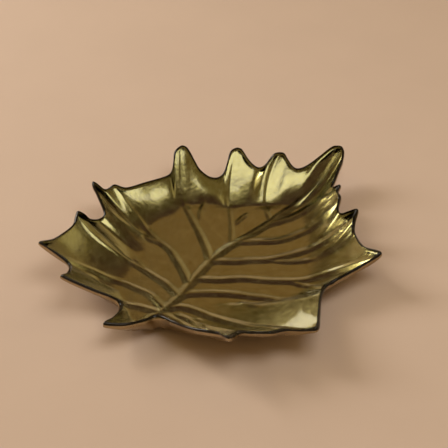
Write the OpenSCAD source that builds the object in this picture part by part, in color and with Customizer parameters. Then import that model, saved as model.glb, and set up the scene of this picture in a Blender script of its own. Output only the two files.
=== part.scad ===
// Leaf shaped plate: a slumped glass leaf with raised veins, finished on its back and set on four
// bumper feet. Millimetres. The midrib runs along X from the stem end to the leaf point.

/* [Blade] */
// Length of the leaf from its stem end to its point
leaf_length = 280; // [200:1:360]
// Distance from the midrib line to the widest lobe
half_width = 121; // [90:1:150]
// Height of the highest lobe tip above the floor of the dish
rim_rise = 35; // [20:0.5:45]
// Thickness of the glass
glass_thickness = 4.5; // [3:0.1:6]

/* [Veins] */
// Height of the midrib above the floor
midrib_height = 2.4; // [1:0.1:3]
// Width of the midrib
midrib_width = 10; // [6:0.5:14]
// Height of a side vein where it leaves the midrib
vein_height = 2; // [0.5:0.1:2.5]
// Width of a side vein where it leaves the midrib
vein_width = 8; // [4:0.5:10]

/* [Finish] */
// Thickness of the metallic coat on the back of the glass
coat_thickness = 0.3; // [0.2:0.05:0.6]
// Thickness of the lacquer that seals the coat
lacquer_thickness = 0.3; // [0.2:0.05:0.6]

/* [Feet] */
// Diameter of a bumper foot
foot_diameter = 10; // [6:0.5:12]
// Height of a bumper foot
foot_height = 2.5; // [2:0.1:4]
// Radius of the rounded lower edge of a bumper foot
foot_edge = 1.2; // [0.5:0.1:1.5]

/* [Hidden] */

// Sway of the midrib at equal steps from the stem end to the leaf point, shares of half_width
midrib_sway_shares = [0, -0.025, -0.045, 0, 0.035, 0.005, -0.03, -0.035, 0];

// Where each pair of veins leaves the midrib, shares of leaf_length
// The first and last are where the midrib itself runs out into the stem and the leaf point
vein_foot_shares = [0.165, 0.18, 0.205, 0.26, 0.315, 0.34, 0.415, 0.53, 0.675, 0.71];

// Half way along each side vein: [along, across], shares of leaf_length and half_width
left_vein_middle_shares = [
    [0.125, 0.235], [0.165, 0.37], [0.267, 0.4], [0.37, 0.5],
    [0.39, 0.47], [0.545, 0.48], [0.645, 0.31], [0.745, 0.18],
];
right_vein_middle_shares = [
    [0.183, -0.4], [0.245, -0.5], [0.375, -0.4], [0.44, -0.445],
    [0.5, -0.505], [0.585, -0.365], [0.675, -0.24], [0.77, -0.155],
];

// Part of each vein that lies on the flat floor, from the stem to the leaf point
left_floor_shares = [0.25, 0.3, 0.42, 0.45, 0.4, 0.45, 0.54, 0.46, 0.36, 0.22];
right_floor_shares = [0.25, 0.2, 0.24, 0.64, 0.66, 0.54, 0.55, 0.55, 0.36, 0.22];

// Rim from the stem end to the leaf point, one row for each bay between neighbouring vein tips
// Each row starts at a vein tip: [along, across, rise], shares of leaf_length, half_width and rim_rise
left_rim_shares = [
    [[0, 0, 0.55], [0.042, 0.03, 0.41], [0.087, 0.063, 0.33], [0.105, 0.11, 0.33], [0.09, 0.165, 0.46],
        [0.06, 0.255, 0.64]],
    [[0.022, 0.39, 0.92], [0.055, 0.44, 0.75], [0.085, 0.495, 0.645], [0.095, 0.555, 0.645],
        [0.08, 0.65, 0.87]],
    [[0.07, 0.71, 1], [0.13, 0.735, 0.78], [0.205, 0.765, 0.69]],
    [[0.25, 0.81, 0.8], [0.275, 0.79, 0.53], [0.31, 0.78, 0.37], [0.335, 0.785, 0.41], [0.36, 0.9, 0.575]],
    [[0.382, 1, 0.71], [0.405, 0.925, 0.505]],
    [[0.43, 0.9, 0.55], [0.455, 0.845, 0.46], [0.51, 0.795, 0.46], [0.575, 0.745, 0.44],
        [0.63, 0.79, 0.505]],
    [[0.69, 0.848, 0.645], [0.695, 0.775, 0.6], [0.675, 0.65, 0.39], [0.68, 0.525, 0.325],
        [0.715, 0.505, 0.44], [0.75, 0.53, 0.645]],
    [[0.782, 0.523, 0.71], [0.79, 0.46, 0.62], [0.795, 0.335, 0.415], [0.825, 0.295, 0.575]],
    [[0.853, 0.263, 0.69], [0.865, 0.215, 0.575], [0.867, 0.125, 0.415], [0.93, 0.085, 0.46],
        [0.983, 0.057, 0.575]],
    [[1, 0, 0.645]],
];
right_rim_shares = [
    [[0, 0, 0.55], [0.04, -0.08, 0.46], [0.095, -0.12, 0.37], [0.132, -0.14, 0.325], [0.128, -0.27, 0.44],
        [0.12, -0.43, 0.645], [0.125, -0.545, 0.78], [0.133, -0.62, 0.84]],
    [[0.126, -0.71, 0.965], [0.185, -0.685, 0.71], [0.213, -0.715, 0.6], [0.233, -0.82, 0.71],
        [0.283, -0.845, 0.55], [0.305, -0.93, 0.59]],
    [[0.328, -1, 0.665], [0.385, -0.92, 0.53], [0.455, -0.81, 0.37]],
    [[0.503, -0.755, 0.345], [0.522, -0.77, 0.38]],
    [[0.54, -0.78, 0.415], [0.62, -0.825, 0.46]],
    [[0.677, -0.875, 0.645], [0.696, -0.722, 0.44], [0.74, -0.58, 0.325], [0.765, -0.53, 0.44]],
    [[0.79, -0.5, 0.62], [0.795, -0.435, 0.44], [0.782, -0.39, 0.355], [0.79, -0.35, 0.39]],
    [[0.828, -0.3, 0.46], [0.845, -0.25, 0.44]],
    [[0.865, -0.23, 0.5], [0.865, -0.175, 0.345], [0.91, -0.14, 0.505], [0.983, -0.06, 0.62]],
    [[1, 0, 0.645]],
];

// Places of the feet under the floor: [along, across], shares of leaf_length and half_width
foot_place_shares = [[0.316, 0.3], [0.575, 0.3], [0.505, -0.33], [0.275, -0.25]];

// Curve of the wall from the floor to the rim: 1 is a straight slope, 2 a parabola
wall_curve = 1.8;
// How late a panel line turns towards its place on the rim: 1 is evenly, more is later
edge_pull = 1.4;
// What is left of a vein's height and width at its tip
vein_tip_share = 0.45;
// What is left of the midrib's height at the leaf point
midrib_end_share = 0.6;
// How far the rounded edge reaches past the edge of the face, share of glass_thickness
rim_reach_share = 0.7;
// How much of the vein relief shows on the back of the glass
back_relief_share = 0.7;
// Widest share of a bay that a vein flank may take
flank_share = 0.22;
// Smallest and largest share of a panel line that is floor
floor_least_share = 0.18;
floor_most_share = 0.72;

// Panel columns in each bay, from the stem to the leaf point
bay_columns = [14, 12, 9, 10, 6, 10, 11, 9, 10];
// Steps up the wall on the face and on the back
face_steps = 5;
back_steps = 3;
// Steps round the rounded rim
rim_steps = 3;

// Heights of the layers, from the surface that the feet stand on
lacquer_z = foot_height;
coat_z = lacquer_z + lacquer_thickness;
glass_z = coat_z + coat_thickness;
floor_z = glass_z + glass_thickness;

// The columns of the sheet form a ring: up the left side to the leaf point and back down the right side
last_vein = len(vein_foot_shares) - 1;
function starts_of(counts) = [
    for (i = 0, sum = 0; i < len(counts); sum = sum + counts[i], i = i + 1) sum
];
bay_starts = starts_of([each bay_columns, 0]);
side_columns = bay_starts[last_vein];
ring_columns = 2 * side_columns;

function mix(a, b, t) = a + (b - a) * t;
function flat(p) = [p.x, p.y];
function unit(v) = v / norm(v);
function scaled(share) = [share.x * leaf_length, share.y * half_width, share.z * rim_rise];

// Smooth curve from b to c that leaves and arrives in line with their neighbours a and d
function smooth(a, b, c, d, t) =
    b + (c - a) * t / 2 + (2 * a - 5 * b + 4 * c - d) * t * t / 2 + (3 * b - a - 3 * c + d) * t * t * t / 2;

// Rim stations of one side in millimetres, with one station of the other side before and after
function rim_row(shares) = [for (bay = shares) each [for (station = bay) scaled(station)]];
left_row = rim_row(left_rim_shares);
right_row = rim_row(right_rim_shares);
left_rim = [right_row[1], each left_row, right_row[len(right_row) - 2]];
right_rim = [left_row[1], each right_row, left_row[len(left_row) - 2]];
left_starts = starts_of([for (bay = left_rim_shares) len(bay)]);
right_starts = starts_of([for (bay = right_rim_shares) len(bay)]);

// Point of the rim in a bay, u runs from the bay's first vein tip to its second
function rim_at(left, bay, u) =
    let (starts = left ? left_starts : right_starts,
        rim = left ? left_rim : right_rim,
        place = mix(starts[bay], starts[bay + 1], u),
        i = min(floor(place), starts[last_vein] - 1))
    smooth(rim[i], rim[i + 1], rim[i + 2], rim[i + 3], place - i);

// Point of the midrib at a share of the leaf's length
function midrib_at(share) =
    let (sway = midrib_sway_shares,
        steps = len(sway) - 1,
        i = min(floor(share * steps), steps - 1),
        across = smooth(sway[max(i - 1, 0)], sway[i], sway[i + 1], sway[min(i + 2, steps)],
            share * steps - i))
    [share * leaf_length, across * half_width];

// Foot of a panel line on the midrib
function base_at(bay, u) = midrib_at(mix(vein_foot_shares[bay], vein_foot_shares[bay + 1], u));

// The sheet's edge lies inside the rim by the reach of the rounded edge
rim_reach = glass_thickness * rim_reach_share;
function edge_at(left, bay, u) =
    let (rim = rim_at(left, bay, u), base = base_at(bay, u), out = unit(flat(rim) - base))
    [rim.x - out.x * rim_reach, rim.y - out.y * rim_reach, rim.z];

// Plan of a vein, v runs from the midrib to the tip
function vein_middle(left, i) =
    i == 0 ? midrib_at(vein_foot_shares[0] / 2)
    : i == last_vein ? midrib_at((vein_foot_shares[i] + 1) / 2)
    : let (share = left ? left_vein_middle_shares[i - 1] : right_vein_middle_shares[i - 1])
        [share.x * leaf_length, share.y * half_width];
function vein_at(left, i, v) =
    let (foot = midrib_at(vein_foot_shares[i]),
        tip = flat(i < last_vein ? edge_at(left, i, 0) : edge_at(left, i - 1, 1)))
    foot * (1 - v) * (1 - 2 * v) + vein_middle(left, i) * 4 * v * (1 - v) + tip * v * (2 * v - 1);

// Plan of a panel between two veins: it bows to the midrib at its foot and to the rim at its edge
function panel_at(left, bay, u, v) =
    let (across = mix(vein_at(left, bay, v), vein_at(left, bay + 1, v), u),
        base_bow = base_at(bay, u) - mix(base_at(bay, 0), base_at(bay, 1), u),
        edge_bow = flat(edge_at(left, bay, u) - mix(edge_at(left, bay, 0), edge_at(left, bay, 1), u)))
    across + base_bow * (1 - v) + edge_bow * pow(v, edge_pull);

// Length of a panel line, and the share of it that lies on the floor
function line_length(left, bay, u) = norm(flat(edge_at(left, bay, u)) - base_at(bay, u));
function floor_share(left, bay, u) =
    let (shares = left ? left_floor_shares : right_floor_shares,
        first = shares[bay] * line_length(left, bay, 0),
        second = shares[bay + 1] * line_length(left, bay, 1))
    max(floor_least_share, min(floor_most_share, mix(first, second, u) / line_length(left, bay, u)));

// Rounded ridge of height 1 that ends at half its width
function ridge(distance, half) = distance < half ? pow(cos(90 * distance / half), 2) : 0;

// Width of a bay, and of a vein's flank in it
function bay_width(left, bay, v) = norm(vein_at(left, bay, v) - vein_at(left, bay + 1, v));
function vein_flank(left, bay, v) =
    min(mix(1, vein_tip_share, v) * vein_width / 2, bay_width(left, bay, v) * flank_share);

// Relief of the veins and the midrib at a place on a panel
function relief(left, bay, u, v) =
    let (side = ridge(min(u, 1 - u) * bay_width(left, bay, v), vein_flank(left, bay, v))
            * vein_height * mix(1, vein_tip_share, v),
        share = mix(vein_foot_shares[bay], vein_foot_shares[bay + 1], u),
        middle = ridge(v * line_length(left, bay, u), midrib_width / 2)
            * midrib_height * mix(1, midrib_end_share, share))
    max(side, middle);

// Column places in a bay: crest, half way down the flank and foot of both veins, evenly spread between
function column_share(left, bay, column, v) =
    let (count = bay_columns[bay],
        flank = vein_flank(left, bay, v) / bay_width(left, bay, v),
        low = min(column, count - column),
        near = low == 0 ? 0 : low == 1 ? flank / 2 : mix(flank, 0.5, (low - 2) / (count / 2 - 2)))
    column <= count / 2 ? near : 1 - near;

// Rows of a panel line: crest and foot of the midrib, floor, then steps up the wall
function row_shares(left, bay, u, steps, fine) =
    let (foot = midrib_width / 2 / line_length(left, bay, u),
        edge = floor_share(left, bay, u))
    [0, each (fine ? [foot / 2] : []), foot, each (fine ? [(foot + edge) / 2] : []), edge,
        each [for (i = [1 : steps]) mix(edge, 1, i / steps)]];

// Sheet at a place on a panel: [point without relief, way out along it, way up off it, relief]
function place(left, bay, u, v) =
    let (edge = edge_at(left, bay, u),
        start = floor_share(left, bay, u),
        climb = max(0, (v - start) / (1 - start)),
        run = line_length(left, bay, u) * (1 - start),
        slope = edge.z * wall_curve * pow(climb, wall_curve - 1) / run,
        out = unit(flat(edge) - base_at(bay, u)),
        plan = panel_at(left, bay, u, v),
        level = edge.z * pow(climb, wall_curve),
        long = sqrt(1 + slope * slope))
    [[plan.x, plan.y, level],
        [out.x, out.y, slope] / long,
        [-out.x * slope, -out.y * slope, 1] / long,
        relief(left, bay, u, v)];

// Side, bay and step of a column of the ring
function on_left(ring) = ring <= side_columns;
function side_column(ring) = on_left(ring) ? ring : ring_columns - ring;
function bay_of(ring) = max([for (i = [0 : last_vein - 1]) if (bay_starts[i] <= side_column(ring)) i]);
function step_of(ring) = side_column(ring) - bay_starts[bay_of(ring)];

// Sheet on a column of the ring
function column_place(ring, v) =
    place(on_left(ring), bay_of(ring), column_share(on_left(ring), bay_of(ring), step_of(ring), v), v);

// One column of the sheet, depth is measured off the face: 0 is the face itself
function column_points(ring, depth, steps, fine) =
    let (left = on_left(ring),
        bay = bay_of(ring),
        edge_u = column_share(left, bay, step_of(ring), 1))
    [for (v = row_shares(left, bay, edge_u, steps, fine))
        let (p = column_place(ring, v),
            rise = depth > 0 ? p[3] * back_relief_share : p[3])
        p[0] + [0, 0, rise] - p[2] * depth];

// Grids of points: the face of the glass, and its back with the layers under it
function grid(depth, steps, fine) = [
    for (ring = [0 : ring_columns - 1]) column_points(ring, depth, steps, fine)
];
face_grid = grid(0, face_steps, true);
back_grid = grid(glass_thickness, back_steps, false);
coat_grid = grid(glass_thickness + coat_thickness, back_steps, false);
lacquer_grid = grid(glass_thickness + coat_thickness + lacquer_thickness, back_steps, false);

// Rounded rim from the edge of the face to the edge of the back
function rim_round(ring) =
    let (top = face_grid[ring][len(face_grid[ring]) - 1],
        low = back_grid[ring][len(back_grid[ring]) - 1],
        middle = (top + low) / 2,
        arm = (top - low) / 2,
        out = column_place(ring, 1)[1] * norm(arm))
    [for (i = [1 : rim_steps - 1])
        let (turn = 180 * i / rim_steps)
        middle + arm * cos(turn) + out * sin(turn)];
rim_grid = [for (ring = [0 : ring_columns - 1]) rim_round(ring)];

// Middle of the leaf's box in plan, which is the origin
rim_points = [for (row = rim_grid) each row];
middle_x = (max([for (p = rim_points) p.x]) + min([for (p = rim_points) p.x])) / 2;
middle_y = (max([for (p = rim_points) p.y]) + min([for (p = rim_points) p.y])) / 2;

// Points of a grid: the midrib's row once, then every other row of each column
function grid_points(grid) = [
    each [for (ring = [0 : side_columns]) grid[ring][0]],
    each [for (column = grid) each [for (i = [1 : len(column) - 1]) column[i]]],
];
function grid_index(ring, row, rows) =
    row == 0 ? side_column(ring)
    : side_columns + 1 + ring * rows + row - 1;
function grid_faces(rows, start, turned) = [
    for (ring = [0 : ring_columns - 1], row = [0 : rows - 1])
        let (next = (ring + 1) % ring_columns,
            a = start + grid_index(ring, row, rows),
            b = start + grid_index(next, row, rows),
            c = start + grid_index(next, row + 1, rows),
            d = start + grid_index(ring, row + 1, rows))
        each (turned ? [[a, b, c], [a, c, d]] : [[a, c, b], [a, d, c]])
];

// Closed sheet between an upper and a lower grid, with rows of points round its edge
module sheet(upper, lower, edge) {
    upper_rows = len(upper[0]) - 1;
    lower_rows = len(lower[0]) - 1;
    edge_rows = len(edge[0]);
    upper_points = grid_points(upper);
    lower_points = grid_points(lower);
    lower_start = len(upper_points);
    edge_start = lower_start + len(lower_points);
    function edge_index(ring, row) =
        row < 0 ? grid_index(ring, upper_rows, upper_rows)
        : row < edge_rows ? edge_start + ring * edge_rows + row
        : lower_start + grid_index(ring, lower_rows, lower_rows);
    edge_faces = [
        for (ring = [0 : ring_columns - 1], row = [-1 : edge_rows - 1])
            let (next = (ring + 1) % ring_columns)
            each [[edge_index(ring, row), edge_index(next, row + 1), edge_index(next, row)],
                [edge_index(ring, row), edge_index(ring, row + 1), edge_index(next, row + 1)]]
    ];
    translate([-middle_x, -middle_y, floor_z])
        polyhedron(
            points = [each upper_points, each lower_points, each [for (row = edge) each row]],
            faces = [each grid_faces(upper_rows, 0, false), each grid_faces(lower_rows, lower_start, true),
                each edge_faces]);
}

no_edge = [for (ring = [0 : ring_columns - 1]) []];

// Slumped glass blade
module glass_leaf() {
    color([0.55, 0.58, 0.4, 0.6])
        sheet(face_grid, back_grid, rim_grid);
}

// Metallic finish on the back of the glass
module metallic_coat() {
    color([0.55, 0.46, 0.17])
        sheet(back_grid, coat_grid, no_edge);
}

// Lacquer that seals the finish
module sealing_lacquer() {
    color([0.2, 0.16, 0.08])
        sheet(coat_grid, lacquer_grid, no_edge);
}

// Four clear dots with a rounded lower edge
module bumper_feet() {
    foot_radius = foot_diameter / 2;
    flat_radius = foot_radius - foot_edge;
    color([0.85, 0.86, 0.82])
        for (share = foot_place_shares)
            translate([share.x * leaf_length - middle_x, share.y * half_width - middle_y, 0])
                rotate_extrude($fn = 48)
                    union() {
                        square([flat_radius, foot_height]);
                        translate([0, foot_edge])
                            square([foot_radius, foot_height - foot_edge]);
                        translate([flat_radius, foot_edge])
                            intersection() {
                                circle(r = foot_edge, $fn = 48);
                                translate([0, -foot_edge])
                                    square([foot_edge, foot_edge]);
                            }
                    }
}

glass_leaf();
metallic_coat();
sealing_lacquer();
bumper_feet();
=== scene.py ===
"""Leaf shaped plate: a slumped glass leaf with raised veins and a metallic finish on its back.

The leaf is drawn in bays, whose borders lie about where the side veins run. Each panel line of a bay
runs from the midrib to the rim, first over the flat floor and then up the turned-up wall.
"""
import math

import bpy
import numpy as np
from mathutils import Matrix, Vector
from mathutils.kdtree import KDTree


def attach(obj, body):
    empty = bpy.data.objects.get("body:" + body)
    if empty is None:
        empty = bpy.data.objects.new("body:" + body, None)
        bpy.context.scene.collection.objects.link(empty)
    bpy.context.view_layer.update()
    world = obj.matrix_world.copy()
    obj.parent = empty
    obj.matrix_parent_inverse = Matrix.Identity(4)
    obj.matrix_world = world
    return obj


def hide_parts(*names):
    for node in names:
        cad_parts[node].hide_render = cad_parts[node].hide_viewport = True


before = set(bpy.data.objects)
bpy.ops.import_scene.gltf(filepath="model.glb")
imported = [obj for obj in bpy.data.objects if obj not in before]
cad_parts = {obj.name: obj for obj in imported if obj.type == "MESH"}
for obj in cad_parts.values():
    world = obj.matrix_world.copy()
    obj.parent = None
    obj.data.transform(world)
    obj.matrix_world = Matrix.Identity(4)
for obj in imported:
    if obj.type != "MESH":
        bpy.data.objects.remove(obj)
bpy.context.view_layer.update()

# Driving sizes of the leaf, in metres
LEAF_LENGTH = 0.280
HALF_WIDTH = 0.121
RIM_RISE = 0.035
GLASS = 0.0045
MIDRIB_HEIGHT = 0.0016
MIDRIB_WIDTH = 0.0092
VEIN_HEIGHTS = {"left": 0.0012, "right": 0.00098}
VEIN_WIDTH = 0.0085
COAT = 0.0003
LACQUER = 0.0003
FLOOR_Z = 0.0076

# Sway of the midrib at equal steps from the stem end to the leaf point
MIDRIB_SWAY_SHARES = np.array([0, -0.025, -0.045, 0, 0.035, 0.005, -0.03, -0.035, 0])

# Where each pair of borders between bays leaves the midrib. The first and last run on in line with it
BORDER_FOOT_SHARES = [0.165, 0.18, 0.205, 0.26, 0.315, 0.34, 0.415, 0.53, 0.675, 0.71]

# Half way along each border: along, across. A side vein runs there unless it has its own course
BORDER_MIDDLE_SHARES = {
    "left": [(0.125, 0.235), (0.165, 0.37), (0.267, 0.4), (0.37, 0.5),
             (0.39, 0.47), (0.545, 0.48), (0.645, 0.31), (0.745, 0.18)],
    "right": [(0.183, -0.4), (0.245, -0.5), (0.375, -0.4), (0.44, -0.445),
              (0.5, -0.505), (0.585, -0.365), (0.675, -0.24), (0.77, -0.155)],
}

# Part of each border that lies on the flat floor
FLOOR_SHARES = {
    "left": [0.25, 0.3, 0.42, 0.45, 0.45, 0.6, 0.6, 0.49, 0.36, 0.22],
    "right": [0.25, 0.2, 0.13, 0.64, 0.66, 0.54, 0.55, 0.55, 0.36, 0.22],
}

# How late in each bay the floor's end changes from one border's part to the next one's
FLOOR_EASES = {"left": [1] * 9, "right": [1, 1, 9, 1, 1, 1, 1, 1, 1]}

# Rim stations of each bay from one border to the next: along, across, rise
RIM_SHARES = {
    "left": [
        [(0, 0, 0.55), (0.042, 0.03, 0.41), (0.087, 0.063, 0.33), (0.105, 0.11, 0.33),
         (0.09, 0.165, 0.46), (0.06, 0.255, 0.64)],
        [(0.022, 0.39, 0.92), (0.055, 0.44, 0.75), (0.085, 0.495, 0.645), (0.095, 0.555, 0.645),
         (0.08, 0.65, 0.87)],
        [(0.07, 0.71, 1.01), (0.13, 0.735, 0.775), (0.205, 0.765, 0.69), (0.234, 0.797, 0.755)],
        [(0.25, 0.815, 0.795), (0.263, 0.806, 0.71), (0.275, 0.79, 0.53), (0.31, 0.78, 0.36),
         (0.335, 0.785, 0.405), (0.36, 0.9, 0.58), (0.371, 0.962, 0.66)],
        [(0.383, 0.995, 0.705), (0.393, 0.985, 0.65), (0.405, 0.93, 0.505)],
        [(0.43, 0.9, 0.573), (0.455, 0.845, 0.47), (0.51, 0.795, 0.456), (0.575, 0.745, 0.424),
         (0.603, 0.75, 0.44), (0.636, 0.802, 0.507), (0.662, 0.846, 0.595)],
        [(0.688, 0.84, 0.66), (0.697, 0.806, 0.639), (0.692, 0.756, 0.573), (0.681, 0.688, 0.457),
         (0.674, 0.632, 0.367), (0.674, 0.56, 0.3), (0.681, 0.51, 0.3), (0.691, 0.485, 0.342),
         (0.707, 0.481, 0.42), (0.731, 0.501, 0.554), (0.759, 0.532, 0.67)],
        [(0.781, 0.523, 0.706), (0.792, 0.499, 0.68), (0.792, 0.472, 0.632), (0.789, 0.426, 0.52),
         (0.789, 0.38, 0.43), (0.792, 0.337, 0.397), (0.801, 0.306, 0.463), (0.82, 0.297, 0.58),
         (0.839, 0.292, 0.66)],
        [(0.851, 0.265, 0.689), (0.861, 0.241, 0.65), (0.859, 0.208, 0.564), (0.858, 0.17, 0.458),
         (0.861, 0.136, 0.398), (0.874, 0.111, 0.396), (0.898, 0.093, 0.425), (0.937, 0.081, 0.478),
         (0.973, 0.063, 0.577), (0.992, 0.04, 0.64)],
        [(1, 0, 0.645)],
    ],
    "right": [
        [(0, 0, 0.55), (0.04, -0.08, 0.46), (0.095, -0.12, 0.37), (0.132, -0.14, 0.325),
         (0.128, -0.27, 0.44), (0.12, -0.43, 0.645), (0.125, -0.545, 0.78), (0.133, -0.62, 0.84)],
        [(0.126, -0.71, 0.965), (0.185, -0.685, 0.71), (0.213, -0.715, 0.6), (0.233, -0.82, 0.71),
         (0.283, -0.845, 0.55), (0.305, -0.93, 0.59)],
        [(0.328, -1, 0.665), (0.385, -0.92, 0.53), (0.455, -0.81, 0.37)],
        [(0.503, -0.755, 0.345), (0.522, -0.77, 0.38)],
        [(0.54, -0.78, 0.415), (0.62, -0.825, 0.46)],
        [(0.677, -0.875, 0.645), (0.696, -0.722, 0.44), (0.74, -0.58, 0.325), (0.765, -0.53, 0.44)],
        [(0.79, -0.5, 0.62), (0.795, -0.435, 0.44), (0.782, -0.39, 0.355), (0.79, -0.35, 0.39)],
        [(0.828, -0.3, 0.46), (0.845, -0.25, 0.44)],
        [(0.865, -0.23, 0.5), (0.865, -0.175, 0.345), (0.893, -0.15, 0.42), (0.927, -0.121, 0.525),
         (0.953, -0.098, 0.565), (0.982, -0.06, 0.615), (0.995, -0.033, 0.63)],
        [(1, 0, 0.645)],
    ],
}

# Folds of the wall between neighbouring veins: place of the crease in the bay, depth of the fold
FOLDS = {
    "left": [(0.5, 0.0004), (0.5, 0.0006), (0.4, 0.0010), (0.45, 0.0020), (0.5, 0.0004),
             (0.3, 0.0036), (0.56, 0.0042), (0.48, 0.0013), (0.33, 0.0030)],
    "right": [(0.5, 0.0004)] * 9,
}

# Course of the midrib's crest, then of the veins that leave their border: along, across
MIDRIB_COURSE = [(0.165, -0.043), (0.194, -0.047), (0.233, -0.046), (0.278, -0.032), (0.318, -0.011),
                 (0.358, 0.008), (0.4, 0.029), (0.44, 0.041), (0.478, 0.047), (0.519, 0.04),
                 (0.547, 0.029), (0.603, 0.012), (0.663, 0.001), (0.71, -0.001),
                 (0.772, -0.012), (0.83, -0.03), (0.9, -0.034), (0.955, -0.02), (0.99, -0.005)]
FORK_STEM = [(0.318, -0.011), (0.352, 0.124), (0.374, 0.228), (0.389, 0.304), (0.396, 0.405)]
VEIN_COURSES = {
    ("left", 2): [(0.2, -0.047), (0.217, 0.108), (0.213, 0.194), (0.205, 0.309), (0.186, 0.412),
                  (0.161, 0.513), (0.12, 0.61), (0.075, 0.7)],
    ("left", 3): [(0.262, -0.037), (0.277, 0.099), (0.279, 0.195), (0.281, 0.282), (0.281, 0.343),
                  (0.278, 0.42), (0.268, 0.535), (0.254, 0.638), (0.248, 0.72), (0.25, 0.805)],
    ("left", 4): FORK_STEM + [(0.389, 0.48), (0.38, 0.58), (0.368, 0.68), (0.365, 0.808), (0.37, 0.915),
                              (0.381, 0.99)],
    ("left", 5): FORK_STEM + [(0.404, 0.488), (0.416, 0.578), (0.425, 0.66), (0.43, 0.76), (0.431, 0.895)],
    ("left", 6): [(0.427, 0.038), (0.454, 0.117), (0.484, 0.218), (0.509, 0.315), (0.537, 0.429),
                  (0.573, 0.567), (0.624, 0.695), (0.683, 0.83)],
    ("left", 7): [(0.519, 0.04), (0.569, 0.137), (0.601, 0.205), (0.634, 0.281), (0.67, 0.363),
                  (0.718, 0.44), (0.776, 0.515)],
    ("right", 2): [(0.205, -0.048), (0.234, -0.104), (0.251, -0.193), (0.257, -0.299), (0.269, -0.438),
                   (0.281, -0.574), (0.299, -0.693), (0.311, -0.85), (0.325, -0.985)],
    ("right", 3): [(0.267, -0.037), (0.29, -0.067), (0.31, -0.11), (0.346, -0.208), (0.37, -0.287),
                   (0.391, -0.373), (0.412, -0.453), (0.429, -0.543), (0.448, -0.595), (0.481, -0.63),
                   (0.505, -0.675), (0.508, -0.745)],
    ("right", 4): [(0.507, -0.465), (0.517, -0.55), (0.528, -0.66), (0.538, -0.77)],
    ("right", 5): [(0.343, 0.002), (0.353, -0.022), (0.387, -0.124), (0.43, -0.221), (0.467, -0.348),
                   (0.507, -0.465), (0.53, -0.518), (0.556, -0.559), (0.58, -0.598), (0.617, -0.669),
                   (0.652, -0.765), (0.672, -0.86)],
    ("right", 6): [(0.43, 0.038), (0.446, -0.004), (0.473, -0.082), (0.504, -0.146), (0.534, -0.222),
                   (0.579, -0.287), (0.611, -0.326), (0.644, -0.363), (0.678, -0.397), (0.705, -0.419),
                   (0.747, -0.447), (0.783, -0.487)],
    ("right", 7): [(0.545, 0.029), (0.556, -0.003), (0.582, -0.065), (0.61, -0.137), (0.641, -0.184),
                   (0.675, -0.212), (0.719, -0.241), (0.76, -0.251), (0.797, -0.262), (0.823, -0.289)],
    ("right", 8): [(0.655, 0.003), (0.693, -0.038), (0.722, -0.07), (0.757, -0.09), (0.793, -0.112),
                   (0.828, -0.15), (0.86, -0.218)],
}

# Veins that are weaker than the others: height and width as shares of a side vein's
FAINT_VEINS = {("left", 7): (0.5, 0.7), ("left", 8): (0.5, 0.7), ("right", 4): (0.8, 0.8)}

# Small veins that branch off: height and width as shares of a left vein's, then along, across
BRANCHES = [
    (0.8, 0.9, [(0.093, 0.512), (0.13, 0.468), (0.165, 0.405)]),
    (0.5, 0.6, [(0.272, 0.23), (0.29, 0.353), (0.303, 0.468)]),
    (0.6, 0.7, [(0.536, 0.353), (0.574, 0.421), (0.605, 0.455), (0.627, 0.49)]),
    (0.5, 0.6, [(0.59, 0.163), (0.63, 0.173), (0.668, 0.178)]),
    (0.7, 0.7, [(0.534, -0.222), (0.554, -0.3), (0.572, -0.355), (0.601, -0.416), (0.63, -0.465)]),
    (0.7, 0.8, [(0.358, -0.343), (0.357, -0.416), (0.368, -0.515)]),
    (0.8, 0.9, [(0.197, -0.103), (0.211, -0.233), (0.187, -0.43)]),
    (0.7, 0.7, [(0.228, -0.239), (0.224, -0.305), (0.196, -0.427)]),
]

# Form of the walls: how they curve up from the floor, and how their upper part turns up at the tips
WALL_CURVES = {
    "left": [1.4, 1.4, 1.4, 1.4, 1.4, 1.4, 1.1, 1.08, 1.1, 1.2],
    "right": [1.4, 1.4, 1.9, 2.0, 1.7, 1.7, 1.7, 1.6, 1.4, 1.3],
}
TIP_CURVE = 2.6
TIP_SHARES = {"left": 0.68, "right": 0.42}
TIP_SOFTNESS = 0.06 * RIM_RISE
FLOOR_LEAST_SHARE = 0.12
FLOOR_MOST_SHARE = 0.72

# Form of the folds: how round the crease is, and how the depth comes and goes up the wall
FOLD_ROUNDING = 0.004
FOLD_RISE = 1.9
FOLD_BEND = 1.5
FOLD_END = 0.4

# Form of the edge: how much of the rim's bow reaches in, how far it is drawn in and lifted, part with
# painted shade
EDGE_PULL = 1.4
EDGE_INSET = 0.2 * GLASS
EDGE_LIFT = 0.0004
EDGE_SHADE_SHARE = 0.75

# Form of a ridge, its half width and height being 1: reach, rounding of crest and foot, level past it
RIDGE_REACH = 1.3
RIDGE_CREST = 0.12
RIDGE_FOOT = 0.004
RIDGE_REST = 0.03

# How the veins and the midrib get weaker along their course
VEIN_TIP_SHARES = {"left": 0.55, "right": 0.95}
TIP_FADE = 0.4
TIP_FADE_START = 0.85
BRANCH_TAPER = 0.3
MIDRIB_END_SHARE = 0.7

# How many veins past a bay's own two may still reach into it
VEINS_BESIDE = 2

# Slight waves of the glass: height in metres, turns in radians per metre
WAVE_HEIGHT = 0.00006
WAVE_TURNS = {"along": 190, "across": 230}
BEND_TURNS = {"along": 120, "across": 90}
WAVE_BEND = 1.3
WAVE_START = 1.1

# How the layers behind the glass end: rows they leave free, rows over which they thin out, thinnest part
COAT_ROWS_LEFT = 3
LACQUER_ROWS_LEFT = 2
THIN_ROWS = 3
THINNEST_SHARE = 0.05

# How far the coat is sunk into the back of the glass
SINK = 0.00004

# Mesh density: columns are set by the rim's length and crowd towards the borders
COLUMN_SPACING = 0.0008
LEAST_COLUMNS = 12
COLUMN_CROWDING = 0.6
RIM_PROBES = 200

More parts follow.
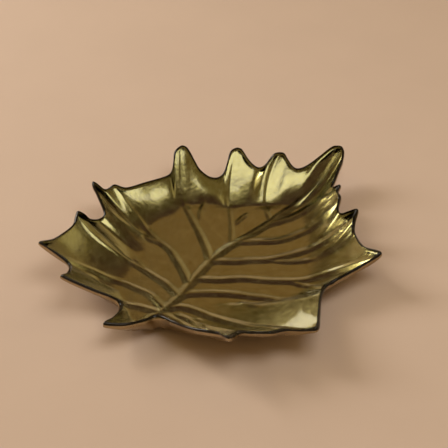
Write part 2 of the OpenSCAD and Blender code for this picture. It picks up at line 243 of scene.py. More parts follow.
# Rows by the part of the panel line, and limits that keep the parts in order
MIDRIB_ROWS = 14
FLOOR_ROWS = 34
WALL_ROWS = 36
EDGE_ROWS = 12
EDGE_BAND = 1.2 * GLASS
WALL_LEAST_SHARE = 0.05
FOOT_MOST_SHARE = 0.8

# Points on the lines that distances are taken from
MIDRIB_POINTS = 73
COURSE_POINTS = 41
BORDER_POINTS = 31
BRANCH_POINTS = 13

# Least squared length that anything is divided by
TINY = 1e-18

LAST_BORDER = len(BORDER_FOOT_SHARES) - 1
SIDES = ("left", "right")
OTHER = {"left": "right", "right": "left"}


# Curves

def mix(a, b, t):
    return a + (b - a) * t


def smoothstep(low, high, x):
    t = np.clip((x - low) / (high - low), 0, 1)
    return t * t * (3 - 2 * t)


def smooth(a, b, c, d, t):
    """Smooth curve from b to c that leaves and arrives in line with their neighbours a and d."""
    return (b + (c - a) * t / 2 + (2 * a - 5 * b + 4 * c - d) * t ** 2 / 2
            + (3 * b - a - 3 * c + d) * t ** 3 / 2)


def along_row(row, place):
    """Point on a row of stations that has one spare station at each end."""
    i = np.clip(np.floor(place).astype(int), 0, len(row) - 4)
    t = (place - i)[:, None]
    return smooth(row[i], row[i + 1], row[i + 2], row[i + 3], t)


SCALE = np.array([LEAF_LENGTH, HALF_WIDTH, RIM_RISE])
STATIONS = {side: np.array([s for bay in RIM_SHARES[side] for s in bay]) * SCALE for side in SIDES}
STARTS = {side: np.cumsum([0] + [len(bay) for bay in RIM_SHARES[side]]) for side in SIDES}
RIM_ROWS = {
    side: np.vstack([STATIONS[OTHER[side]][1], STATIONS[side], STATIONS[OTHER[side]][-2]])
    for side in SIDES
}


def unit(v):
    return v / np.linalg.norm(v, axis=-1, keepdims=True)


def midrib_at(share):
    """Plan of the midrib at shares of the leaf's length."""
    share = np.atleast_1d(np.asarray(share, float))
    steps = len(MIDRIB_SWAY_SHARES) - 1
    row = np.concatenate([MIDRIB_SWAY_SHARES[:1], MIDRIB_SWAY_SHARES, MIDRIB_SWAY_SHARES[-1:]])
    sway = along_row(row[:, None], share * steps)[:, 0]
    return np.stack([share * LEAF_LENGTH, sway * HALF_WIDTH], 1)


def base_share(bay, u):
    """Where panel lines u of a bay leave the midrib."""
    return mix(BORDER_FOOT_SHARES[bay], BORDER_FOOT_SHARES[bay + 1], u)


def rim_at(side, bay, u):
    """Rim where panel lines u of a bay end."""
    starts = STARTS[side]
    return along_row(RIM_ROWS[side], mix(starts[bay], starts[bay + 1], u))


def edge_at(side, bay, u):
    """Edge of the sheet: the rim, drawn in a little along the panel line."""
    rim = rim_at(side, bay, u)
    rim[:, :2] -= unit(rim[:, :2] - midrib_at(base_share(bay, u))) * EDGE_INSET
    return rim


def border_at(side, i, v):
    """Plan of border i, where bay i starts. v runs from the midrib to the rim."""
    foot = midrib_at(BORDER_FOOT_SHARES[i])[0]
    if i == 0:
        middle = midrib_at(BORDER_FOOT_SHARES[0] / 2)[0]
    elif i == LAST_BORDER:
        middle = midrib_at((BORDER_FOOT_SHARES[i] + 1) / 2)[0]
    else:
        middle = np.array(BORDER_MIDDLE_SHARES[side][i - 1]) * SCALE[:2]
    bay, end = (i, 0.0) if i < LAST_BORDER else (i - 1, 1.0)
    tip = edge_at(side, bay, np.array([end]))[0, :2]
    v = v[..., None]
    return foot * (1 - v) * (1 - 2 * v) + middle * 4 * v * (1 - v) + tip * v * (2 * v - 1)


# Relief

def ridge(distance, half):
    """Roof shaped ridge of height 1 with a rounded crest and foot."""
    x = np.clip(distance / half, 0, RIDGE_REACH)
    roof = 1 - np.sqrt(x * x + RIDGE_CREST * RIDGE_CREST) + RIDGE_CREST
    return np.where(x < RIDGE_REACH, (roof + np.sqrt(roof * roof + RIDGE_FOOT)) / 2, RIDGE_REST)


def fold(side, bay, u):
    """Height of a bay's fold: level with the wall at the veins, lowest and steepest at the crease."""
    crease, depth = FOLDS[side][bay]
    t = np.where(u < crease, u / crease, (1 - u) / (1 - crease))
    rounded = np.sqrt((1 - t) ** 2 + FOLD_ROUNDING)
    rounded = np.where(u < crease, rounded * (2 - rounded), rounded)
    return depth * (rounded - 1)


def fold_share(climb):
    """Part of a fold's depth on the way up the wall: none at its foot and at the rim."""
    return climb * (FOLD_RISE - FOLD_BEND * climb) - FOLD_END * climb ** 4


def line_distance(plan, line):
    """Distance of plan points from a line of stations, and how far along it the nearest spot lies."""
    gap = np.full(plan.shape[:2], np.inf)
    place = np.zeros(plan.shape[:2])
    for i, (a, b) in enumerate(zip(line, line[1:])):
        along = b - a
        t = np.clip(((plan - a) @ along) / (along @ along), 0, 1)
        off = plan - a - along * t[..., None]
        d = np.hypot(off[..., 0], off[..., 1])
        place = np.where(d < gap, (i + t) / (len(line) - 1), place)
        gap = np.minimum(gap, d)
    return gap, place


def rounded_line(shares, count):
    """Smooth line through plan stations."""
    stops = np.array(shares) * SCALE[:2]
    row = np.vstack([2 * stops[0] - stops[1], stops, 2 * stops[-1] - stops[-2]])
    return along_row(row, np.linspace(0, len(stops) - 1, count))


def vein_line(side, i):
    """Crest of a side vein in plan, on its own course or on its border."""
    if (side, i) in VEIN_COURSES:
        return rounded_line(VEIN_COURSES[side, i], COURSE_POINTS)
    return border_at(side, i, np.linspace(0, 1, BORDER_POINTS))


def vein_relief(bay, plan):
    """Height of the veins in and beside a bay, which taper to their tips."""
    first = max(0, bay - VEINS_BESIDE)
    last = min(LAST_BORDER - 1, bay + 1 + VEINS_BESIDE)
    best = np.zeros(plan.shape[:2])
    for side in SIDES:
        for i in range(first, last + 1):
            gap, place = line_distance(plan, vein_line(side, i))
            fade = mix(1, VEIN_TIP_SHARES[side], place)
            fade = fade * (1 - TIP_FADE * smoothstep(TIP_FADE_START, 1, place))
            tall, wide = FAINT_VEINS.get((side, i), (1, 1))
            crest = ridge(gap, wide * fade * VEIN_WIDTH / 2) * tall * VEIN_HEIGHTS[side] * fade ** 2
            best = np.maximum(best, crest)
    return best


def branch_relief(plan):
    """Height of the small veins, which taper to nothing at both ends."""
    best = np.zeros(plan.shape[:2])
    for tall, wide, shares in BRANCHES:
        gap, place = line_distance(plan, rounded_line(shares, BRANCH_POINTS))
        taper = smoothstep(0, BRANCH_TAPER, place) * smoothstep(0, BRANCH_TAPER, 1 - place)
        crest = ridge(gap, wide * VEIN_WIDTH / 2) * taper * tall * VEIN_HEIGHTS["left"]
        best = np.maximum(best, crest)
    return best


def midrib_relief(plan):
    """Height of the midrib, which gets lower and narrower towards the leaf point."""
    gap, place = line_distance(plan, rounded_line(MIDRIB_COURSE, MIDRIB_POINTS))
    fade = mix(1, MIDRIB_END_SHARE, place)
    return ridge(gap, fade * MIDRIB_WIDTH / 2) * MIDRIB_HEIGHT * fade


# The sheet as grids of columns by rows

def bay_grid(side, bay):
    """Columns of one bay, the last one is left to the next bay."""
    probe = np.linspace(0, 1, RIM_PROBES)
    length = np.linalg.norm(np.diff(rim_at(side, bay, probe), axis=0), axis=1).sum()
    count = max(LEAST_COLUMNS, int(length / COLUMN_SPACING))
    t = np.arange(count) / count
    u = t - COLUMN_CROWDING * np.sin(2 * math.pi * t) / (2 * math.pi)
    return panel(side, bay, u)


def floor_end(side, bay, u, length, border_length):
    """Part of each panel line that lies on the flat floor."""
    shares = FLOOR_SHARES[side]
    ease = u ** FLOOR_EASES[side][bay]
    reach = mix(shares[bay] * border_length[0], shares[bay + 1] * border_length[1], ease)
    return np.clip(reach / length, FLOOR_LEAST_SHARE, FLOOR_MOST_SHARE)


def wall(side, bay, u, climb, rise):
    """Level of the sheet where a share of the wall is climbed, and how fast it gains there."""
    curve = mix(WALL_CURVES[side][bay], WALL_CURVES[side][bay + 1], u)[:, None]
    low_rise = TIP_SHARES[side] * RIM_RISE
    low_rise = (rise + low_rise - np.sqrt((rise - low_rise) ** 2 + TIP_SOFTNESS ** 2)) / 2
    tip_rise = rise - low_rise
    level = low_rise * climb ** curve + tip_rise * climb ** TIP_CURVE
    level = level + fold(side, bay, u)[:, None] * fold_share(climb)
    gain = low_rise * curve * climb ** (curve - 1) + tip_rise * TIP_CURVE * climb ** (TIP_CURVE - 1)
    return level, gain


def panel(side, bay, u):
    """Face of the sheet on panel lines u of a bay, with what its other surfaces need."""
    borders = np.array([0.0, 1.0])
    base = midrib_at(base_share(bay, u))
    edge = edge_at(side, bay, u)
    feet = midrib_at(base_share(bay, borders))
    tips = edge_at(side, bay, borders)
    length = np.linalg.norm(edge[:, :2] - base, axis=1)
    border_length = np.linalg.norm(tips[:, :2] - feet, axis=1)
    start = floor_end(side, bay, u, length, border_length)
    v = panel_rows(MIDRIB_WIDTH / length, start, length)

    across = mix(border_at(side, bay, v), border_at(side, bay + 1, v), u[:, None, None])
    base_bow = base - mix(feet[0], feet[1], u[:, None])
    edge_bow = edge[:, :2] - mix(tips[0, :2], tips[1, :2], u[:, None])
    plan = across + base_bow[:, None] * (1 - v[..., None]) + edge_bow[:, None] * v[..., None] ** EDGE_PULL

    climb = np.maximum(0, (v - start[:, None]) / (1 - start[:, None]))
    level, gain = wall(side, bay, u, climb, edge[:, 2][:, None] + EDGE_LIFT)
    slope = gain / (length * (1 - start))[:, None]
    out = unit(edge[:, :2] - base)[:, None]
    normal = unit(np.concatenate([-out * slope[..., None], np.ones(v.shape + (1,))], -1))

    relief = np.maximum(np.maximum(vein_relief(bay, plan), midrib_relief(plan)), branch_relief(plan))
    point = np.concatenate([plan, level[..., None]], -1)
    return {"point": point, "normal": normal, "relief": relief}


def panel_rows(foot, start, length):
    """Rows along each panel line: midrib flank, floor, wall and the rounded edge."""
    edge_start = 1 - EDGE_BAND / length
    start = np.minimum(start, edge_start - WALL_LEAST_SHARE)
    foot = np.minimum(foot, start * FOOT_MOST_SHARE)
    knots = [np.zeros_like(foot), foot, start, edge_start, np.ones_like(foot)]
    counts = [MIDRIB_ROWS, FLOOR_ROWS, WALL_ROWS, EDGE_ROWS]
    rows = []
    for low, high, count in zip(knots, knots[1:], counts):
        t = np.arange(count) / count
        if high is knots[-1]:
            t = 1 - (1 - t) ** 2
        rows.append(low[:, None] + (high - low)[:, None] * t)
    rows.append(np.ones((len(foot), 1)))
    return np.concatenate(rows, 1)


def ring():
    """All columns: up the left side from the stem to the leaf point, then back down the right.

    The number of the leaf point's own column comes with them.
    """
    parts = {}
    for side in SIDES:
        grids = [bay_grid(side, bay) for bay in range(LAST_BORDER)]
        parts[side] = {k: np.concatenate([g[k] for g in grids]) for k in grids[0]}
    apex = panel("left", LAST_BORDER - 1, np.array([1.0]))
    joined = {}
    for key, left in parts["left"].items():
        right = parts["right"][key][1:][::-1]
        joined[key] = np.concatenate([left, apex[key], right])
    return joined, len(parts["left"]["point"])


def edge_distance(point):
    """Distance of each grid point from the edge of the sheet."""
    edge = point[:, -1]
    tree = KDTree(len(edge))
    for i, p in enumerate(edge):
        tree.insert(p, i)
    tree.balance()
    flat = point.reshape(-1, 3)
    nearest = np.array([tree.find(p)[1] for p in flat])
    best = np.full(len(flat), np.inf)
    for step in (-1, 1):
        a = edge[nearest]
        b = edge[(nearest + step) % len(edge)]
        along = b - a
        t = np.clip(((flat - a) * along).sum(1) / np.maximum((along ** 2).sum(1), TINY), 0, 1)
        best = np.minimum(best, np.linalg.norm(a + along * t[:, None] - flat, axis=1))
    return best.reshape(point.shape[:2])


def waviness(point):
    """Slight unevenness of slumped glass: two crossing waves with bent crests."""
    x, y = point[..., 0], point[..., 1]
    along = np.sin(x * WAVE_TURNS["along"] + np.sin(y * BEND_TURNS["along"]) * WAVE_BEND)
    across = np.sin(y * WAVE_TURNS["across"] + WAVE_START + np.sin(x * BEND_TURNS["across"]))
    return along * across * WAVE_HEIGHT


# Surfaces

sheet, apex_column = ring()
middle_surface = sheet["point"] - sheet["normal"] * GLASS / 2
from_edge = edge_distance(middle_surface)
round_share = np.clip(from_edge / (GLASS / 2), 0, 1)
half_thickness = GLASS / 2 * np.sqrt(np.maximum(0, 1 - (1 - round_share) ** 2))
half_thickness[:, -1] = 0
wave = waviness(sheet["point"])


def surface(depth):
    """Surface of the sheet at a depth from minus 1, its face, to plus 1, its back."""
    point = middle_surface - sheet["normal"] * (half_thickness * depth)[..., None]
    point[..., 2] += sheet["relief"] + wave
    return point


face = surface(-1.0)
back = surface(1.0)

# The part's frame has the middle of the rim's outline at its origin and the feet on the ground
outline = face[:, -1, :2]
shift = np.append(-(outline.min(0) + outline.max(0)) / 2, FLOOR_Z)
face += shift
back += shift


def grid_faces(columns, rows, index, flipped):
    """Quads of a ring of columns whose first row is shared by the two sides."""
    k = np.arange(columns)
    n = (k + 1) % columns
    faces = []
    for r in range(rows - 1):
        a, b, c, d = index(k, r), index(n, r), index(n, r + 1), index(k, r + 1)
        quads = np.stack([a, d, c, b] if flipped else [a, b, c, d], 1)
        faces.append(quads)
    return np.concatenate(faces)


def midrib_column(k, columns):
    """Column on the left side that shares its foot on the midrib with column k."""
    return np.where(k <= apex_column, k, columns - k)


def make_mesh(name, points, faces):
    """Object from points and faces, with faces that lost a corner to the midrib made triangles."""
    mesh = bpy.data.meshes.new(name)
    clean = []
    for f in faces:
        corners = list(dict.fromkeys(int(i) for i in f))
        if len(corners) > 2:
            clean.append(corners)
    mesh.from_pydata([tuple(p) for p in points], [], clean)
    mesh.validate()
    mesh.polygons.foreach_set("use_smooth", [True] * len(mesh.polygons))
    mesh.update()
    piece = bpy.data.objects.new(name, mesh)
    bpy.context.scene.collection.objects.link(piece)
    return piece


def closed_sheet(name, upper, lower, shared_edge):
    """Closed piece between two grids. Its edge is one shared row, or a strip between the two."""
    columns, rows = upper.shape[:2]
    ribs = apex_column + 1

    def index(start, k, r):
        k = np.asarray(k)
        if r == 0:
            return start + midrib_column(k, columns)
        return start + ribs + k * (rows - 1) + r - 1

    per_grid = ribs + columns * (rows - 1)
    grids = []
    for grid in (upper, lower):
        grids.append(np.concatenate([grid[:ribs, 0], grid[:, 1:].reshape(-1, 3)]))
    upper_faces = grid_faces(columns, rows, lambda k, r: index(0, k, r), False)
    lower_faces = grid_faces(columns, rows, lambda k, r: index(per_grid, k, r), True)
    k = np.arange(columns)
    n = (k + 1) % columns
    if shared_edge:
        top_edge = index(0, k, rows - 1)
        low_edge = index(per_grid, k, rows - 1)
        renamed = np.arange(2 * per_grid)
        renamed[low_edge] = top_edge
        lower_faces = renamed[lower_faces]
        edge_faces = np.zeros((0, 4), int)
    else:
        edge_faces = np.stack([index(0, k, rows - 1), index(0, n, rows - 1),
                               index(per_grid, n, rows - 1), index(per_grid, k, rows - 1)], 1)
    faces = np.concatenate([upper_faces, lower_faces, edge_faces])
    points = np.concatenate(grids)
    used = np.unique(faces)
    renumber = np.full(len(points), -1)
    renumber[used] = np.arange(len(used))
    return make_mesh(name, points[used], renumber[faces])


def paint_edge_shade(piece):
    """Gives the rounded edge of the glass its second material, a near black painted shade."""
    columns, rows = from_edge.shape
    ribs = apex_column + 1
    near = np.concatenate([from_edge[:ribs, 0], from_edge[:, 1:].ravel()])
    # Face and back share one edge row, so the mesh has no edge row for the back
    kept = np.ones(2 * len(near), bool)
    kept[len(near) + ribs + np.arange(columns) * (rows - 1) + rows - 2] = False
    near = np.concatenate([near, near])[kept]
    for polygon in piece.data.polygons:
        if np.mean([near[i] for i in polygon.vertices]) < EDGE_SHADE_SHARE * GLASS / 2:
            polygon.material_index = 1


# Materials

# Range that holds most of a noise's values
NOISE_LOW = 0.3
NOISE_HIGH = 0.7


def new_material(name):
    material = bpy.data.materials.new(name)
    material.use_nodes = True
    return material, material.node_tree.nodes, material.node_tree.links


def noise(nodes, links, scale, detail, stretch=(1, 1, 1)):
    """Noise in the part's own frame, drawn out along its axes."""
    place = nodes.new("ShaderNodeTexCoord")
    spread = nodes.new("ShaderNodeMapping")
    spread.inputs["Scale"].default_value = stretch
    texture = nodes.new("ShaderNodeTexNoise")
    texture.inputs["Scale"].default_value = scale
    texture.inputs["Detail"].default_value = detail
    links.new(place.outputs["Object"], spread.inputs["Vector"])
    links.new(spread.outputs["Vector"], texture.inputs["Vector"])
    return texture.outputs["Fac"]


def vary_colour(nodes, links, source, target, low, high):
    """Colour that drifts between two near tones."""
    ramp = nodes.new("ShaderNodeValToRGB")
    ramp.color_ramp.elements[0].position = NOISE_LOW
    ramp.color_ramp.elements[0].color = low + (1,)
    ramp.color_ramp.elements[1].position = NOISE_HIGH
    ramp.color_ramp.elements[1].color = high + (1,)
    links.new(source, ramp.inputs["Fac"])
    links.new(ramp.outputs["Color"], target)


def vary_value(nodes, links, source, target, low, high):
    """Value that drifts between two near amounts."""
    spread = nodes.new("ShaderNodeMapRange")
    spread.inputs["From Min"].default_value = NOISE_LOW
    spread.inputs["From Max"].default_value = NOISE_HIGH
    spread.inputs["To Min"].default_value = low
    spread.inputs["To Max"].default_value = high
    links.new(source, spread.inputs["Value"])
    links.new(spread.outputs["Result"], target)


def roughen(nodes, links, source, shader, strength, distance):
    """Fine bumps on the surface."""
    bump = nodes.new("ShaderNodeBump")
    bump.inputs["Strength"].default_value = strength
    bump.inputs["Distance"].default_value = distance
    links.new(source, bump.inputs["Height"])
    links.new(bump.outputs["Normal"], shader.inputs["Normal"])


def glass_material():
    """Clear glass with faint streaks of tint left by its casting."""
    material, nodes, links = new_material("clear_glass")
    shader = nodes["Principled BSDF"]
    shader.inputs["Transmission Weight"].default_value = 1.0
    shader.inputs["Roughness"].default_value = 0.01
    shader.inputs["IOR"].default_value = 1.01
    streaks = noise(nodes, links, scale=45, detail=3, stretch=(1, 3, 1))
    vary_colour(nodes, links, streaks, shader.inputs["Base Color"],
                low=(0.91, 0.92, 0.83), high=(0.95, 0.96, 0.89))
    return material


def edge_shade_material():
    """Rounded glass edge, fire polished and slightly uneven, coloured near black as painted shade for its
    dark look.
    """
    material, nodes, links = new_material("edge_painted_shade")
    shader = nodes["Principled BSDF"]
    shader.inputs["Specular IOR Level"].default_value = 0.35
    drift = noise(nodes, links, scale=120, detail=3)
    # Near black tones: painted shade for the dark look of the clear glass edge, not a colour of the glass
    vary_colour(nodes, links, drift, shader.inputs["Base Color"],
                low=(0.007, 0.005, 0.002), high=(0.016, 0.011, 0.005))
    vary_value(nodes, links, drift, shader.inputs["Roughness"], low=0.04, high=0.10)
    roughen(nodes, links, noise(nodes, links, scale=500, detail=2), shader, strength=0.05, distance=0.0003)
    return material


def coat_material():
    """Olive gold metal finish, crinkled like foil and a little cloudy."""
    material, nodes, links = new_material("olive_gold_leaf")
    shader = nodes["Principled BSDF"]
    shader.inputs["Metallic"].default_value = 1.0
    shader.inputs["Coat Weight"].default_value = 1.0
    shader.inputs["Coat Roughness"].default_value = 0.04
    clouds = noise(nodes, links, scale=150, detail=4)
    vary_colour(nodes, links, clouds, shader.inputs["Base Color"],
                low=(0.245, 0.219, 0.092), high=(0.295, 0.267, 0.118))
    vary_value(nodes, links, clouds, shader.inputs["Roughness"], low=0.18, high=0.25)
    roughen(nodes, links, noise(nodes, links, scale=300, detail=5), shader, strength=0.3, distance=0.0006)
    return material


def lacquer_material():
    """Bronze lacquer brushed along the leaf, with a fine sprayed grain."""
    material, nodes, links = new_material("bronze_lacquer")
    shader = nodes["Principled BSDF"]
    shader.inputs["Metallic"].default_value = 1.0
    strokes = noise(nodes, links, scale=60, detail=4, stretch=(1, 5, 1))
    vary_colour(nodes, links, strokes, shader.inputs["Base Color"],
                low=(0.36, 0.275, 0.155), high=(0.44, 0.345, 0.205))
    vary_value(nodes, links, strokes, shader.inputs["Roughness"], low=0.2, high=0.3)
    roughen(nodes, links, noise(nodes, links, scale=700, detail=3), shader, strength=0.12, distance=0.0004)
    return material


def foot_material():
    """Clear silicone, slightly cloudy, with a soft grain."""
    material, nodes, links = new_material("clear_silicone")
    shader = nodes["Principled BSDF"]
    shader.inputs["Transmission Weight"].default_value = 0.6
    clouds = noise(nodes, links, scale=250, detail=3)
    vary_colour(nodes, links, clouds, shader.inputs["Base Color"],
                low=(0.74, 0.75, 0.72), high=(0.83, 0.84, 0.81))
    vary_value(nodes, links, clouds, shader.inputs["Roughness"], low=0.28, high=0.42)
    roughen(nodes, links, noise(nodes, links, scale=900, detail=2), shader, strength=0.1, distance=0.0003)
    return material


# Pieces

def thinning(rows_left):
    """Share of a layer's thickness on each row: full, then less and less over its last rows."""
    rows = sheet["normal"].shape[1]
    last = rows - 1 - rows_left
    share = np.interp(np.arange(rows), [0, last - THIN_ROWS, last], [1, 1, THINNEST_SHARE])
    return share[None, :, None]


# The coat lies on the back of the glass and ends near its edge. The lacquer covers the coat and ends a
# row nearer to the edge.
coat_share = thinning(COAT_ROWS_LEFT)
lacquer_share = thinning(LACQUER_ROWS_LEFT)
coat_top = back + sheet["normal"] * SINK
coat_bottom = back - sheet["normal"] * COAT * coat_share
lacquer_bottom = back - sheet["normal"] * (COAT * coat_share + LACQUER * lacquer_share)


def add_glass():
    glass_piece = closed_sheet("glass_blade", face, back, True)
    glass_piece.data.materials.append(glass_material())
    glass_piece.data.materials.append(edge_shade_material())
    paint_edge_shade(glass_piece)
    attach(glass_piece, "root")
    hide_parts("glass_leaf")


def add_coat():
    upper = coat_top[:, :-COAT_ROWS_LEFT]
    lower = coat_bottom[:, :-COAT_ROWS_LEFT]
    coat_piece = closed_sheet("metal_coat", upper, lower, False)
    coat_piece.data.materials.append(coat_material())
    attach(coat_piece, "root")
    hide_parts("metallic_coat")


def add_lacquer():
    upper = coat_bottom[:, :-LACQUER_ROWS_LEFT]
    lower = lacquer_bottom[:, :-LACQUER_ROWS_LEFT]
    lacquer_piece = closed_sheet("back_lacquer", upper, lower, False)
    lacquer_piece.data.materials.append(lacquer_material())
    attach(lacquer_piece, "root")
    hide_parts("sealing_lacquer")


def dress_feet():
    """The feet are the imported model's own, with a new material."""
    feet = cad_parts["bumper_feet"]
    feet.data.materials.clear()
    feet.data.materials.append(foot_material())


add_glass()
add_coat()
add_lacquer()
dress_feet()


# Stage, light and camera

VIEW_TURN = math.radians(49.115)
VIEW_RISE = math.radians(39)
VIEW_DISTANCE = 1.04487
VIEW_TARGET = Vector((0.018734, 0.024486, 0.0068))
VIEW_LENS = 104.46
VIEW_SENSOR = 36
VIEW_END = 50
FLOOR_REACH = 4.0
HALF_TURN = 180

# The studio in strips, each an arc from the far horizon at 0 degrees over the top at 90 to the near
# horizon at 180: angle, colour
STUDIO_STRIPS = {
    "left_panel": [(0, (0.7, 0.49, 0.28)), (23, (0.7, 0.49, 0.28)), (29, (0.38, 0.25, 0.115)),
                   (39, (0.25, 0.16, 0.07)), (46, (0.25, 0.17, 0.07)), (56, (2.2, 1.85, 1.0)),
                   (72, (2.2, 1.85, 1.0)), (86, (0.26, 0.18, 0.08)), (120, (0.36, 0.26, 0.12))],
    "left": [(0, (0.7, 0.49, 0.28)), (23, (0.7, 0.49, 0.28)), (29, (0.3, 0.2, 0.085)),
             (39, (0.3, 0.2, 0.085)), (44, (0.07, 0.035, 0.03)), (54, (0.07, 0.035, 0.03)),
             (60, (0.18, 0.11, 0.08)), (78, (0.18, 0.11, 0.07)), (94, (0.36, 0.26, 0.11)),
             (120, (0.36, 0.26, 0.11)), (140, (0.24, 0.17, 0.08))],
    "near_left": [(0, (0.3, 0.21, 0.1)), (19, (0.3, 0.21, 0.1)), (24, (0.12, 0.08, 0.03)),
                  (32, (0.14, 0.095, 0.035)), (39, (0.36, 0.24, 0.11)), (47, (0.13, 0.07, 0.055)),
                  (78, (0.13, 0.07, 0.055)), (94, (0.34, 0.25, 0.1)), (120, (0.34, 0.25, 0.1)),
                  (140, (0.24, 0.17, 0.08))],
    "middle": [(0, (0.85, 0.6, 0.39)), (19, (0.85, 0.6, 0.39)), (24, (0.22, 0.15, 0.055)),
               (31, (0.22, 0.15, 0.055)), (36, (0.52, 0.315, 0.138)), (46, (0.52, 0.315, 0.138)),
               (51, (0.11, 0.056, 0.05)), (78, (0.11, 0.056, 0.05)), (92, (0.24, 0.17, 0.08))],
    "right": [(0, (0.36, 0.26, 0.15)), (19, (0.36, 0.26, 0.15)), (27, (0.8, 0.6, 0.34)),
              (34, (0.8, 0.6, 0.34)), (40, (0.42, 0.27, 0.12)), (46, (0.4, 0.26, 0.12)),
              (51, (0.13, 0.07, 0.055)), (72, (0.14, 0.1, 0.045)), (92, (0.24, 0.17, 0.08))],
    "far_right": [(0, (0.36, 0.26, 0.15)), (44, (0.3, 0.2, 0.1)), (52, (1.1, 0.92, 0.5)),
                  (62, (1.1, 0.92, 0.5)), (72, (0.16, 0.11, 0.05)), (92, (0.24, 0.17, 0.08))],
}

# Strips from left to right and where each takes over. The left strip lies on both sides of its panel
STUDIO_BLENDS = [
    ("left_panel", -0.68, -0.6),
    ("left", -0.52, -0.44),
    ("near_left", -0.28, -0.2),
    ("middle", -0.13, -0.06),
    ("right", 0.1, 0.3),
    ("far_right", 0.6, 0.68),
]


def from_view(right, away, up):
    """Direction or place given as the camera sees it, turned into the part's frame."""
    c, s = math.cos(VIEW_TURN), math.sin(VIEW_TURN)
    return Vector((right * c + away * s, -right * s + away * c, up))


def aim(piece, place, target):
    piece.location = place
    piece.rotation_euler = (target - place).to_track_quat("-Z", "Y").to_euler()


def add_camera():
    camera = bpy.data.objects.new("camera", bpy.data.cameras.new("camera"))
    bpy.context.scene.collection.objects.link(camera)
    back_off = from_view(0, -math.cos(VIEW_RISE), math.sin(VIEW_RISE)) * VIEW_DISTANCE
    aim(camera, VIEW_TARGET + back_off, VIEW_TARGET)
    camera.data.lens = VIEW_LENS
    camera.data.sensor_width = VIEW_SENSOR
    camera.data.clip_end = VIEW_END
    bpy.context.scene.camera = camera


def add_softbox(name, direction, distance, size, radiance, colour):
    """Area lamp seen from the plate in a direction, with a given brightness to the eye."""
    lamp = bpy.data.lights.new(name, "AREA")
    lamp.shape = "RECTANGLE"
    lamp.size, lamp.size_y = size
    lamp.energy = radiance * math.pi * size[0] * size[1]
    lamp.color = colour
    piece = bpy.data.objects.new(name, lamp)
    bpy.context.scene.collection.objects.link(piece)
    face_on = direction.normalized()
    across = from_view(1, 0, 0)
    across = (across - face_on * across.dot(face_on)).normalized()
    piece.matrix_world = Matrix.Translation(face_on * distance) @ Matrix(
        (across, face_on.cross(across), face_on)).transposed().to_4x4()


def add_floor():
    mesh = bpy.data.meshes.new("floor")
    corners = [(-FLOOR_REACH, -FLOOR_REACH, 0), (FLOOR_REACH, -FLOOR_REACH, 0),
               (FLOOR_REACH, FLOOR_REACH, 0), (-FLOOR_REACH, FLOOR_REACH, 0)]
    mesh.from_pydata(corners, [], [(0, 1, 2, 3)])
    floor = bpy.data.objects.new("floor", mesh)
    bpy.context.scene.collection.objects.link(floor)
    material, nodes, links = new_material("floor_paper")
    shader = nodes["Principled BSDF"]
    shader.inputs["Roughness"].default_value = 0.9
    grain = noise(nodes, links, scale=14, detail=4)
    vary_colour(nodes, links, grain, shader.inputs["Base Color"],
                low=(0.702, 0.546, 0.45), high=(0.722, 0.562, 0.463))
    floor.data.materials.append(material)


def along_axis(nodes, links, seen, axis):
    """How far a direction points along an axis."""
    part = nodes.new("ShaderNodeVectorMath")
    part.operation = "DOT_PRODUCT"
    part.inputs[1].default_value = axis
    links.new(seen, part.inputs[0])
    return part.outputs["Value"]


def arc_place(nodes, links, seen):
    """Place of a direction on the arc, from 0 at the far horizon to 1 at the near one."""
    split = nodes.new("ShaderNodeSeparateXYZ")
    arc = nodes.new("ShaderNodeMath")
    arc.operation = "ARCTAN2"
    turn = nodes.new("ShaderNodeMath")
    turn.operation = "DIVIDE"
    turn.inputs[1].default_value = math.pi
    links.new(seen, split.inputs[0])
    links.new(split.outputs["Z"], arc.inputs[0])
    links.new(along_axis(nodes, links, seen, from_view(0, 1, 0)), arc.inputs[1])
    links.new(arc.outputs["Value"], turn.inputs[0])
    return turn.outputs["Value"]


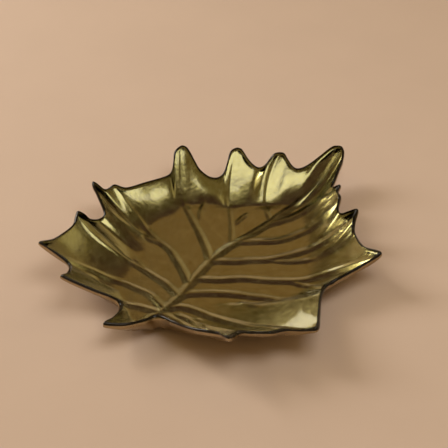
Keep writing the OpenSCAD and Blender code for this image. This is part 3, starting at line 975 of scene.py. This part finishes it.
def strip_colour(nodes, links, arc, stops):
    """Colour of one strip of the studio along the arc."""
    ramp = nodes.new("ShaderNodeValToRGB")
    while len(ramp.color_ramp.elements) < len(stops):
        ramp.color_ramp.elements.new(1.0)
    for element, (angle, colour) in zip(ramp.color_ramp.elements, stops):
        element.position = angle / HALF_TURN
        element.color = colour + (1,)
    links.new(arc, ramp.inputs["Fac"])
    return ramp.outputs["Color"]


def blend_strips(nodes, links, sideways, first, second, low, high):
    """Blend of two colours from left to right as the camera sees the studio."""
    spread = nodes.new("ShaderNodeMapRange")
    spread.interpolation_type = "SMOOTHSTEP"
    spread.inputs["From Min"].default_value = low
    spread.inputs["From Max"].default_value = high
    blend = nodes.new("ShaderNodeMix")
    blend.data_type = "RGBA"
    links.new(sideways, spread.inputs["Value"])
    links.new(spread.outputs["Result"], blend.inputs["Factor"])
    links.new(first, blend.inputs["A"])
    links.new(second, blend.inputs["B"])
    return blend.outputs["Result"]


def add_world():
    """Studio round the plate: lit backdrop low down, darker above it, with a bright panel on each side."""
    world = bpy.data.worlds.new("studio")
    bpy.context.scene.world = world
    world.use_nodes = True
    nodes, links = world.node_tree.nodes, world.node_tree.links
    seen = nodes.new("ShaderNodeTexCoord").outputs["Generated"]
    arc = arc_place(nodes, links, seen)
    sideways = along_axis(nodes, links, seen, from_view(1, 0, 0))
    strips = {name: strip_colour(nodes, links, arc, stops) for name, stops in STUDIO_STRIPS.items()}
    colour = strips["left"]
    for name, low, high in STUDIO_BLENDS:
        colour = blend_strips(nodes, links, sideways, colour, strips[name], low, high)
    links.new(colour, nodes["Background"].inputs["Color"])
    nodes["Background"].inputs["Strength"].default_value = 1.0


bpy.context.scene.view_settings.view_transform = "Standard"
add_camera()
add_floor()
add_world()
add_softbox("overhead", from_view(0.3, -0.2, 0.933), distance=1.2, size=(0.77, 0.6),
            radiance=2.7, colour=(1, 0.97, 0.9))
add_softbox("key", from_view(-0.76, 0.415, 0.5), distance=1.6, size=(0.94, 0.48),
            radiance=9.6, colour=(1, 0.95, 0.88))
add_softbox("far_left", from_view(-0.19, 0.948, 0.254), distance=1.6, size=(0.12, 0.18),
            radiance=3.6, colour=(1, 0.93, 0.76))
